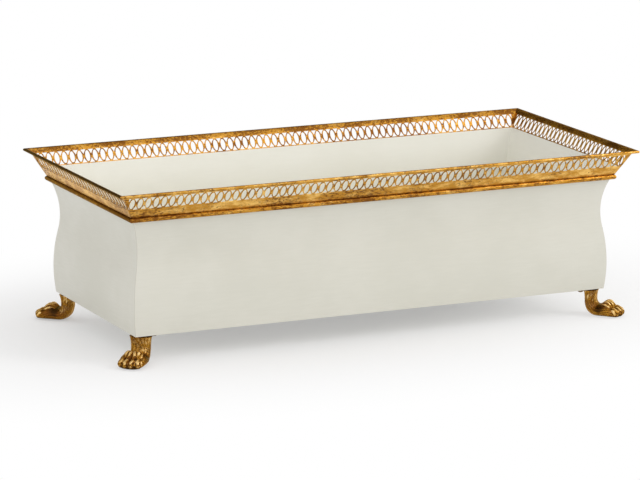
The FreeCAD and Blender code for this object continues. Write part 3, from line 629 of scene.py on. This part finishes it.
def toe(shell, s, heading, shut, length):
    """One toe: rings round a path in the upright plane of its heading. Five ridges, |cos(2.5 a)|
    for an angle a from the top, run along it, and knobs sin(4 a) sin(26 t) at share t, moved on
    from toe to toe, make them uneven. A painted highlight brightens the ridges' upper side at the
    knuckle and at the pad and the knobs where they stand out, and painted shade darkens the
    furrows, the dips and the sides shut in by a neighbour."""
    rows = smooth_rows(TOE_ROWS, TOE_STEPS)
    out, up, wide, tall = (rows[:, k:k + 1] for k in range(4))
    out = out[0] + (out - out[0]) * length
    slant = np.arctan2(np.gradient(up[:, 0]), np.gradient(out[:, 0]))[:, None]
    angle = full_turn(TOE_AROUND)
    cos, sin = np.cos(angle), np.sin(angle)
    ridge = np.abs(np.cos(2.5 * (angle - pi / 2)))
    share = np.linspace(0, 1, TOE_STEPS + 2)[:, None]
    knob = np.sin(4 * angle + 40 * heading) * np.sin(26 * share + 60 * heading)
    size = 0.94 + 0.05 * ridge + 0.04 * knob[1:-1]
    side, lift = wide * size * cos, tall * size * sin
    reach = out - lift * np.sin(slant)
    height = up + lift * np.cos(slant)
    ahead, aside = math.cos(heading), math.sin(heading)
    points = np.stack([reach * ahead - side * aside - s.leg_setback / MM,
                       reach * aside + side * ahead, height], -1)
    points = with_poles(points, points[0].mean(0), points[-1].mean(0))
    near = np.where(cos > 0, shut[1], shut[0]) * np.abs(cos) ** 3
    bulge = 0.5 + 0.5 * np.cos(2 * pi * (share - KNUCKLE) / KNUCKLE_TO_PAD)
    rubbed = ridge ** 2 * ramp(sin, *UPPER_SIDE) * bulge
    furrow = (1 - ridge) * (1 - 0.5 * bulge)
    # Painted shade between toes and in the furrows and dips, painted highlight on the ridges' upper
    # side and the raised knobs
    dark = 0.38 + 0.5 * near + 0.35 * furrow - 1.1 * rubbed - 0.4 * knob
    shell.add_rounds(points * MM, np.clip(dark, -1, 1))


def flange_plate(shell, s):
    """Flange of a foot: its plan outline at four levels, drawn in a little at the edges, with both
    faces closed to a point inside, and a round boss under it at the screw."""
    plan, middle = np.array(FLANGE_PLAN), np.array(FLANGE_MIDDLE)
    top = s.foot_height / MM
    low = top - s.flange_sheet / MM
    rows = [(0, low), (0.975, low), (1, low + 0.3), (1, top - 0.1), (0.98, top), (0, top)]
    plate = np.stack([
        np.column_stack([middle + share * (plan - middle), np.full(len(plan), height)])
        for share, height in rows])
    shell.add_rounds(plate * MM, FLANGE_TARNISH)
    foot = low - s.screw_boss / MM
    profile = [(0, low + 0.5), (4.9, low + 0.5), (4.7, foot + 0.5), (4.2, foot), (0, foot)]
    radius, height = np.array(profile).T[..., None]
    boss = turn_round(radius, height, full_turn(BOSS_AROUND), (-s.screw_setback / MM, 0))
    shell.add_rounds(boss * MM, BOSS_TARNISH)


def foot_shell(s, h, corner):
    """A whole foot, flat on the floor and darkened by painted shade near it, turned out along the
    diagonal.
    """
    shell = Shell()
    foot_body(shell)
    for place in range(s.toes):
        heading = (place - (s.toes - 1) / 2) * s.toe_fan
        shut = (float(place > 0), float(place < s.toes - 1))
        toe(shell, s, heading, shut, 1.0 if all(shut) else OUTER_TOE_LENGTH)
    flange_plate(shell, s)
    diagonal = np.array(corner) / math.sqrt(2)
    aside = np.array([-diagonal[1], diagonal[0]])
    for points, dark in zip(shell.points, shell.dark):
        points[:, 2] = np.maximum(points[:, 2], 0.0)
        # Painted shade near the floor
        dark += ramp(points[:, 2], *SOLE_DARK)
        forward, sideways = points[:, :1].copy(), points[:, 1:2].copy()
        points[:, :2] = np.array(h.corner) * corner + forward * diagonal + sideways * aside
    return shell


def screw_places(s, h):
    """Where the screws stand on the floor plan."""
    back = s.screw_setback / math.sqrt(2)
    return [(along * (h.corner[0] - back), across * (h.corner[1] - back))
            for along, across in CORNERS.values()]


def screw_shell(s, h):
    """Slotted round-head screws. A screw is a profile of radius and height turned about its axis,
    and its head is pushed in wherever a point lies within the slot, and painted shade darkens the
    slot."""
    low = s.foot_height - s.flange_sheet - s.screw_boss
    share = np.linspace(0, 1, HEAD_STEPS)
    head = np.column_stack([
        HEAD_RADIUS * share, low - HEAD_HEIGHT * np.sqrt(1 - 0.9 * share ** 2)])
    stem = np.array(STEM_PROFILE) * MM + [0, low]
    profile = np.vstack([head, stem])
    radius, height = profile[:, :1], profile[:, 1:]
    angle = full_turn(SCREW_AROUND)
    slot = ramp(np.abs(radius * np.sin(angle)), *SLOT_SIDE)
    slot[len(head):] = 0
    shell = Shell()
    for place in screw_places(s, h):
        # The slot's depth also sets its painted shade
        shell.add_rounds(turn_round(radius, height + slot * SLOT_DEPTH, angle, place), slot)
    return shell


def nut_shell(s, h):
    """Hexagon nuts on the pan's floor. Round the axis the outside follows a hexagon, held back to
    a circle at its two ends where the corners are turned off; the bore closes the loop."""
    floor = s.foot_height + PAN_SHEET
    angle = full_turn(NUT_AROUND)
    hexagon = NUT_FLAT / np.cos((angle + pi / 6) % (pi / 3) - pi / 6)
    end, bore = (np.full(NUT_AROUND, radius) for radius in (NUT_END, NUT_BORE))
    rows = [(bore, 0), (end, 0), (hexagon, 0.4), (hexagon, 2.7), (end, 3.2), (bore, 3.2)]
    radius = np.stack([row for row, _ in rows])
    height = floor + np.array([rise for _, rise in rows])[:, None] * MM
    quads = grid_quads(len(rows), NUT_AROUND, round_rows=True, round_columns=True)
    shell = Shell()
    for place in screw_places(s, h):
        shell.add(turn_round(radius, height, angle, place), quads, dark=NUT_TARNISH)
    return shell


def feed(tree, socket, value):
    """Link a socket to what feeds it, or set a plain value on it."""
    if isinstance(value, bpy.types.NodeSocket):
        tree.links.new(value, socket)
    else:
        socket.default_value = value


def add_node(tree, kind, **inputs):
    """A shader node with values or links on its named inputs."""
    node = tree.nodes.new("ShaderNode" + kind)
    for name, value in inputs.items():
        feed(tree, node.inputs[name], value)
    return node


def colour_mix(tree, share, first, second):
    """Two colours mixed by the share of the second."""
    node = add_node(tree, "Mix")
    node.data_type = "RGBA"
    for place, value in ((0, share), (6, first), (7, second)):
        feed(tree, node.inputs[place], value)
    return node.outputs[2]


def work_out(tree, operation, first, second):
    """Two values put together by one operation."""
    node = add_node(tree, "Math")
    node.operation = operation
    feed(tree, node.inputs[0], first)
    feed(tree, node.inputs[1], second)
    return node.outputs[0]


def weigh(tree, *terms):
    """Sum of values, each times its weight."""
    total = None
    for value, weight in terms:
        term = work_out(tree, "MULTIPLY", value, weight)
        total = term if total is None else work_out(tree, "ADD", total, term)
    return total


def spread(tree, value, low, high, to_low=0.0, to_high=1.0):
    """A value moved smoothly from one range to another."""
    node = add_node(tree, "MapRange")
    node.interpolation_type = "SMOOTHSTEP"
    for socket, given in zip(node.inputs, (value, low, high, to_low, to_high)):
        feed(tree, socket, given)
    return node.outputs["Result"]


def noise(tree, vector, scale, detail, roughness=0.6):
    """Soft clouds between 0 and 1, as many to the metre as the scale says."""
    return add_node(tree, "TexNoise", Vector=vector, Scale=scale, Detail=detail,
                    Roughness=roughness).outputs["Fac"]


def stretched(tree, vector, scale):
    """Coordinates stretched by a scale along each axis."""
    return add_node(tree, "Mapping", Vector=vector, Scale=scale).outputs["Vector"]


def new_group(name, values, colours, vectors):
    """A node group with its inputs, of which the first takes a piece's tarnish and painted shading,
    and its outputs.
    """
    tree = bpy.data.node_groups.new(name, "ShaderNodeTree")
    for labels, kind in ((values, "Float"), (colours, "Color"), (vectors, "Vector")):
        for label in labels:
            tree.interface.new_socket(name=label, in_out="INPUT", socket_type="NodeSocket" + kind)
    for label, kind in (("Color", "Color"), ("Roughness", "Float"), ("Height", "Float")):
        tree.interface.new_socket(name=label, in_out="OUTPUT", socket_type="NodeSocket" + kind)
    given = tree.nodes.new("NodeGroupInput").outputs
    return tree, given, tree.nodes.new("NodeGroupOutput").inputs


def gilding_group():
    """Worn gilding: leaf clouded with pale leaf, broken by the red ground, darkened by tarnish and
    painted shade and paler under painted light, in clouds that may be stretched along a piece."""
    found = bpy.data.node_groups.get("worn_gilding")
    if found:
        return found
    tree, given, out = new_group(
        "worn_gilding", ("Tarnish", "Grain", "Dull"), ("Leaf", "Pale", "Ground", "Soot"),
        ("Vector", "Stretch"))
    grain, tarnish = given["Grain"], given["Tarnish"]
    vector = stretched(tree, given["Vector"], given["Stretch"])
    drift = noise(tree, vector, weigh(tree, (grain, 0.24)), 2.0)
    cloud = noise(tree, vector, grain, 3.0)
    fleck = noise(tree, vector, weigh(tree, (grain, 3.3)), 5.0, 0.7)
    speck = noise(tree, vector, weigh(tree, (grain, 9.0)), 3.0)
    pale = weigh(tree, (cloud, 0.6), (fleck, 0.4), (tarnish, -0.2))
    colour = colour_mix(tree, spread(tree, pale, 0.43, 0.62), given["Leaf"], given["Pale"])
    wear_and_shade = weigh(tree, (fleck, 0.7), (speck, 0.3), (tarnish, 0.2))
    wear_and_shade = work_out(tree, "ADD", wear_and_shade, spread(tree, drift, 0.3, 0.7, -0.07, 0.07))
    bare = spread(tree, wear_and_shade, 0.51, 0.61, 0.0, 0.88)
    colour = colour_mix(tree, bare, colour, given["Ground"])
    # Soot darkens real tarnish and the deepest painted shade alike
    soot = spread(tree, weigh(tree, (tarnish, 0.85), (speck, 0.35)), 0.55, 1.05, 0.0, 0.92)
    feed(tree, out["Color"], colour_mix(tree, soot, colour, given["Soot"]))
    rough = work_out(tree, "ADD", spread(tree, fleck, 0.3, 0.75, 0.0, 0.22), given["Dull"])
    feed(tree, out["Roughness"], work_out(tree, "ADD", rough, weigh(tree, (soot, 0.2))))
    feed(tree, out["Height"], weigh(tree, (speck, 0.5), (bare, -0.4)))
    return tree


def paint_group():
    """Satin paint: broad soft clouds, fine brush drag along the sheet, a faint line at seams."""
    found = bpy.data.node_groups.get("satin_paint")
    if found:
        return found
    tree, given, out = new_group("satin_paint", ("Seam",), ("Paint", "Shade"), ("Vector",))
    vector = given["Vector"]
    cloud = noise(tree, vector, 9.0, 3.0)
    drag = noise(tree, stretched(tree, vector, (0.12, 0.12, 1.0)), 420.0, 3.0)
    peel = noise(tree, vector, 850.0, 2.0)
    tone = weigh(tree, (cloud, 0.75), (drag, 0.25))
    colour = colour_mix(tree, spread(tree, tone, 0.35, 0.65), given["Paint"], given["Shade"])
    seam = weigh(tree, (given["Seam"], 0.45))
    feed(tree, out["Color"], colour_mix(tree, seam, colour, SEAM_COLOUR))
    rough = work_out(tree, "ADD", cloud, weigh(tree, (drag, 0.5)))
    feed(tree, out["Roughness"], spread(tree, rough, 0.5, 1.0, 0.34, 0.46))
    feed(tree, out["Height"], weigh(tree, (peel, 0.6), (drag, 0.5)))
    return tree


def opaque(colour):
    """A colour with full cover."""
    return (*colour, 1.0)


def new_finish(name, group, relief, metallic, glance=WHITE[:3], **inputs):
    """A material: the group's colour, roughness and relief on one Principled shader."""
    finish = bpy.data.materials.new(name)
    finish.use_nodes = True
    tree = finish.node_tree
    shader = tree.nodes["Principled BSDF"]
    shader.inputs["Metallic"].default_value = metallic
    shader.inputs["Specular Tint"].default_value = opaque(glance)
    mark = add_node(tree, "Attribute")
    mark.attribute_name = "tarnish"
    effect = add_node(tree, "Group")
    effect.node_tree = group
    feed(tree, effect.inputs[0], mark.outputs["Fac"])
    inputs["Vector"] = add_node(tree, "TexCoord").outputs["Object"]
    for label, value in inputs.items():
        feed(tree, effect.inputs[label], value)
    feed(tree, shader.inputs["Base Color"], effect.outputs["Color"])
    feed(tree, shader.inputs["Roughness"], effect.outputs["Roughness"])
    strength, depth = relief
    bump = add_node(
        tree, "Bump", Height=effect.outputs["Height"], Strength=strength, Distance=depth)
    feed(tree, shader.inputs["Normal"], bump.outputs["Normal"])
    return finish


def painted(name, colour, shade, relief=PAINT_RELIEF):
    """A finish in satin paint."""
    return new_finish(
        name, paint_group(), relief, 0.0, Paint=opaque(colour), Shade=opaque(shade))


def gilt(name, looks, grain, metallic=0.95, leaf=None, pale=None, dull=0.26, glance=None,
         relief=LEAF_RELIEF, stretch=NO_STRETCH):
    """A gilded finish, in the plain leaf unless other colours are given."""
    return new_finish(
        name, gilding_group(), relief, metallic, glance or looks.glance, Grain=grain, Dull=dull,
        Leaf=opaque(leaf or looks.leaf), Pale=opaque(pale or looks.leaf_pale),
        Ground=opaque(looks.bole), Soot=opaque(looks.soot), Stretch=stretch)


def settings(context):
    """Sizes, what follows from them, and finishes."""
    sizes = context.scene.planter_sizes
    return sizes, chain(sizes), context.scene.planter_finishes


def each_side(s):
    """Each side, an empty shell, and the side's half length and half depth as drawn in front."""
    half = (s.rim_length / 2, s.rim_depth / 2)
    for side in SIDES:
        yield side, Shell(), half if side.is_long else half[::-1]


class PLANTER_OT_walls(Operator):
    """Four ogee walls in cream paint, mitred and soldered at the corners"""
    bl_idname = "planter.walls"
    bl_label = "Walls"

    def execute(self, context):
        s, h, looks = settings(context)
        cream = painted("cream_satin_paint", looks.cream, looks.cream_shade)
        # Paler cream on the inside faces, painted light for the brighter inside
        pale = painted("pale_inside_paint", looks.inside, looks.inside_shade)
        section = wall_section(s, h)
        is_inside = np.arange(len(section)) >= len(section) // 2
        seam = np.where(is_inside, INSIDE_SEAM, OUTSIDE_SEAM)
        for side, shell, half in each_side(s):
            sweep_side(shell, section, *half, s.wall_corner, seam=seam, finish=is_inside)
            make_piece(side.name + "_wall", shell.turned(side.quarter_turns), [cream, pale],
                       side.name + "_panel")
        return {"FINISHED"}


class PLANTER_OT_pan(Operator):
    """Paint on the bottom pan, whose own shape stays"""
    bl_idname = "planter.pan"
    bl_label = "Bottom pan"

    def execute(self, context):
        looks = context.scene.planter_finishes
        # The pan takes the inside's paler cream, painted light like the inside walls
        paint = painted("pan_satin_paint", looks.inside, looks.inside_shade, PAN_RELIEF)
        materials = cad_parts["bottom_pan"].data.materials
        materials.clear()
        materials.append(paint)
        return {"FINISHED"}


class PLANTER_OT_mouldings(Operator):
    """Half-round gilt moulding on each wall under the gallery"""
    bl_idname = "planter.mouldings"
    bl_label = "Mouldings"

    def execute(self, context):
        s, h, looks = settings(context)
        leaf = gilt("gilt_moulding_leaf", looks, BEAD_GRAIN, stretch=STRIP_STRETCH)
        section = bead_section(s, h)
        from_crest = np.abs(np.linspace(-1, 1, len(section)))
        # Painted shade towards where the moulding meets the wall
        dark = BEAD_TARNISH + np.maximum(from_crest - BEAD_SEAT_SHADE_FROM, 0)
        for side, shell, half in each_side(s):
            # The side's painted shade, over the whole moulding
            wear_and_shade = BEAD_SHARE * side.edge_tarnish
            sweep_side(shell, section, *half, BEAD_CORNER, dark + wear_and_shade)
            make_piece(side.name + "_moulding", shell.turned(side.quarter_turns), [leaf],
                       "bead_" + side.name)
        return {"FINISHED"}


class PLANTER_OT_galleries(Operator):
    """Pierced gilt strip on each side, with its band, its rings and its rolled rim"""
    bl_idname = "planter.galleries"
    bl_label = "Galleries"

    def execute(self, context):
        s, h, looks = settings(context)
        leaf = gilt("gilt_strip_leaf", looks, STRIP_GRAIN, glance=looks.strip_glance,
                    stretch=STRIP_STRETCH)
        cut = gilt("gilt_strip_cut_edge", looks, CUT_GRAIN, metallic=0.8, leaf=looks.cut_edge,
                   pale=looks.cut_edge_pale)
        rolled = gilt("gilt_rim_leaf", looks, STRIP_GRAIN, stretch=RIM_STRETCH)
        finishes = [leaf, cut, rolled]
        band, rim = band_section(s, h), rim_section(s, h)
        band_dark = np.zeros(len(band))
        # Patina and painted shade along the band's foot, in the groove over the moulding
        band_dark[[0, -1]] = BAND_FOOT_TARNISH_AND_SHADE
        band_dark[[1, -2]] = BAND_LOW_TARNISH_AND_SHADE
        roll_start = 1 + BEND_STEPS
        cove_start = roll_start + ROLL_STEPS
        rim_dark, rim_share = np.zeros((2, len(rim)))
        rim_dark[cove_start - ROLL_TOP_STEPS:cove_start] = ROLL_TOP_TARNISH
        rim_share[roll_start:cove_start] = ROLL_SHARE
        rim_share[cove_start:-1] = COVE_SHARE
        for side, shell, half in each_side(s):
            # The side's painted shading over the strip, and its painted shade on the rim's roll and
            # cove
            tarnish = side.strip_tarnish
            wear_and_shade = side.edge_tarnish * rim_share
            sweep_side(shell, band, *half, STRIP_CORNER, band_dark + tarnish)
            sweep_side(shell, rim, *half, STRIP_CORNER, rim_dark + tarnish + wear_and_shade,
                       finish=finishes.index(rolled))
            half_row = ring_row(shell, s, h, *half, tarnish)
            for hand in (-1, 1):
                corner_plate(shell, s, h, *half, tarnish, half_row, hand)
            make_piece(side.name + "_gallery", shell.turned(side.quarter_turns), finishes,
                       "gallery_" + side.name)
        return {"FINISHED"}


class PLANTER_OT_feet(Operator):
    """Four cast paw feet with toes and a flange under the pan"""
    bl_idname = "planter.feet"
    bl_label = "Paw feet"

    def execute(self, context):
        s, h, looks = settings(context)
        cast = gilt("gilt_casting", looks, CAST_GRAIN, metallic=1.0, leaf=looks.casting,
                    pale=looks.casting_pale, dull=0.09, relief=CAST_RELIEF)
        for name, corner in CORNERS.items():
            make_piece(name + "_paw", foot_shell(s, h, corner), [cast],
                       "foot_" + name, outward=True)
        return {"FINISHED"}


class PLANTER_OT_fasteners(Operator):
    """Slotted screws under the flanges and hexagon nuts in the pan"""
    bl_idname = "planter.fasteners"
    bl_label = "Screws and nuts"

    def execute(self, context):
        s, h, looks = settings(context)
        rubbed = [min(1.0, part * STEEL_RUBBED) for part in looks.steel]
        steel = gilt("dull_steel", looks, STEEL_GRAIN, metallic=0.9, leaf=looks.steel, pale=rubbed)
        for name, shell, node in (("flange_screws", screw_shell(s, h), "foot_screws"),
                                  ("pan_nuts", nut_shell(s, h), "foot_nuts")):
            make_piece(name, shell, [steel], node, outward=True)
        return {"FINISHED"}


def seen_rays(tree):
    """One for camera, glossy and transmission rays, which show the white background."""
    path = add_node(tree, "LightPath").outputs
    seen = work_out(tree, "MAXIMUM", path["Is Camera Ray"], path["Is Glossy Ray"])
    return work_out(tree, "MAXIMUM", seen, path["Is Transmission Ray"])


def flat_card(name, corners, finish):
    """A four-cornered sheet of the stage."""
    mesh = bpy.data.meshes.new(name)
    mesh.from_pydata(corners, [], [(0, 1, 2, 3)])
    mesh.materials.append(finish)
    card = bpy.data.objects.new(name, mesh)
    bpy.context.scene.collection.objects.link(card)
    return card


def light_world(scene, stage):
    """Even light from all round, and plain white where the background itself is seen."""
    world = bpy.data.worlds.new("white_room")
    world.use_nodes = True
    tree = world.node_tree
    strength = add_node(tree, "Mix")
    for place, value in ((0, seen_rays(tree)), (2, stage.sky), (3, 1.0)):
        feed(tree, strength.inputs[place], value)
    sky = tree.nodes["Background"]
    sky.inputs["Color"].default_value = WHITE
    feed(tree, sky.inputs["Strength"], strength.outputs[0])
    scene.world = world


def lay_floor(stage):
    """White paper that keeps the shadow near the planter and fades to plain white round it."""
    finish = bpy.data.materials.new("white_floor")
    finish.use_nodes = True
    tree = finish.node_tree
    tree.nodes.remove(tree.nodes["Principled BSDF"])
    paper = add_node(tree, "BsdfDiffuse", Color=PAPER)
    glow = add_node(tree, "Emission", Color=WHITE, Strength=1.0)
    place = add_node(tree, "TexCoord").outputs["Object"]
    oval = add_node(tree, "Mapping", Vector=place, Location=OVAL_SHIFT, Scale=OVAL_STRETCH)
    far = add_node(tree, "VectorMath")
    far.operation = "LENGTH"
    feed(tree, far.inputs[0], oval.outputs["Vector"])
    share = spread(tree, far.outputs["Value"], *OVAL_FADE, stage.floor_glow, 1.0)
    share = work_out(tree, "MULTIPLY", share, seen_rays(tree))
    mix = add_node(tree, "MixShader", Fac=share)
    feed(tree, mix.inputs[1], paper.outputs[0])
    feed(tree, mix.inputs[2], glow.outputs[0])
    feed(tree, tree.nodes["Material Output"].inputs["Surface"], mix.outputs[0])
    flat_card("floor", [(x * FLOOR_HALF, y * FLOOR_HALF, 0.0)
                        for x, y in ((-1, -1), (1, -1), (1, 1), (-1, 1))], finish)


def hang_flag():
    """A dark card hung behind the planter, which only reflections show."""
    finish = bpy.data.materials.new("dark_card")
    finish.use_nodes = True
    shader = finish.node_tree.nodes["Principled BSDF"]
    shader.inputs["Base Color"].default_value = CARD_COLOUR
    card = flat_card("dark_flag", [
        (*CARD_LEFT, CARD_LOW), (*CARD_RIGHT, CARD_LOW),
        (*CARD_RIGHT, CARD_HIGH), (*CARD_LEFT, CARD_HIGH)], finish)
    card.visible_camera = card.visible_diffuse = False
    card.visible_shadow = card.visible_transmission = False


def set_camera(scene, stage):
    """Right, up and back of the camera from its yaw, pitch and roll, moved off the aimed point."""
    yaw, pitch, roll = stage.yaw, stage.pitch, stage.roll
    back = Vector((math.sin(yaw) * math.cos(pitch), -math.cos(yaw) * math.cos(pitch),
                   math.sin(pitch)))
    side = Vector((math.cos(yaw), math.sin(yaw), 0))
    above = back.cross(side)
    right = math.cos(roll) * side + math.sin(roll) * above
    up = math.cos(roll) * above - math.sin(roll) * side
    aim = Vector((0, 0, stage.aim_height))
    eye = bpy.data.cameras.new("camera")
    eye.sensor_width = SENSOR_WIDTH
    eye.lens = stage.lens
    eye.clip_end = SIGHT
    camera = bpy.data.objects.new("camera", eye)
    camera.matrix_world = Matrix((right, up, back)).transposed().to_4x4()
    camera.location = aim + back * stage.distance + right * stage.slide + up * stage.rise
    scene.collection.objects.link(camera)
    scene.camera = camera


class PLANTER_OT_stage(Operator):
    """White floor that keeps the shadow, even light, two soft lamps and the camera"""
    bl_idname = "planter.stage"
    bl_label = "Stage"

    def execute(self, context):
        scene = context.scene
        stage = scene.planter_stage
        scene.view_settings.view_transform = "Standard"
        light_world(scene, stage)
        lay_floor(stage)
        hang_flag()
        for name, way, softness in LAMPS:
            lamp = bpy.data.lights.new(name + "_lamp", "SUN")
            lamp.energy = getattr(stage, name)
            lamp.angle = math.radians(softness)
            holder = bpy.data.objects.new(name + "_lamp", lamp)
            holder.rotation_euler = Vector(way).to_track_quat("Z", "Y").to_euler()
            scene.collection.objects.link(holder)
        set_camera(scene, stage)
        return {"FINISHED"}


STEPS = (PLANTER_OT_walls, PLANTER_OT_pan, PLANTER_OT_mouldings, PLANTER_OT_galleries,
         PLANTER_OT_feet, PLANTER_OT_fasteners, PLANTER_OT_stage)


class PLANTER_PT_panel(Panel):
    bl_idname = "PLANTER_PT_panel"
    bl_label = "Tole planter"
    bl_space_type = "VIEW_3D"
    bl_region_type = "UI"
    bl_category = "Planter"

    def draw(self, context):
        for step in STEPS:
            self.layout.operator(step.bl_idname)


GROUPS = (("planter_sizes", PlanterSizes), ("planter_finishes", PlanterFinishes),
          ("planter_stage", PlanterStage))
CLASSES = tuple(group for _, group in GROUPS) + STEPS + (PLANTER_PT_panel,)


def register():
    for cls in CLASSES:
        bpy.utils.register_class(cls)
    for name, group in GROUPS:
        setattr(bpy.types.Scene, name, PointerProperty(type=group))


def unregister():
    for name, _ in GROUPS:
        delattr(bpy.types.Scene, name)
    for cls in reversed(CLASSES):
        bpy.utils.unregister_class(cls)


def main():
    register()
    for step in STEPS:
        group, name = step.bl_idname.split(".")
        getattr(getattr(bpy.ops, group), name)()


if __name__ == "__main__":
    main()
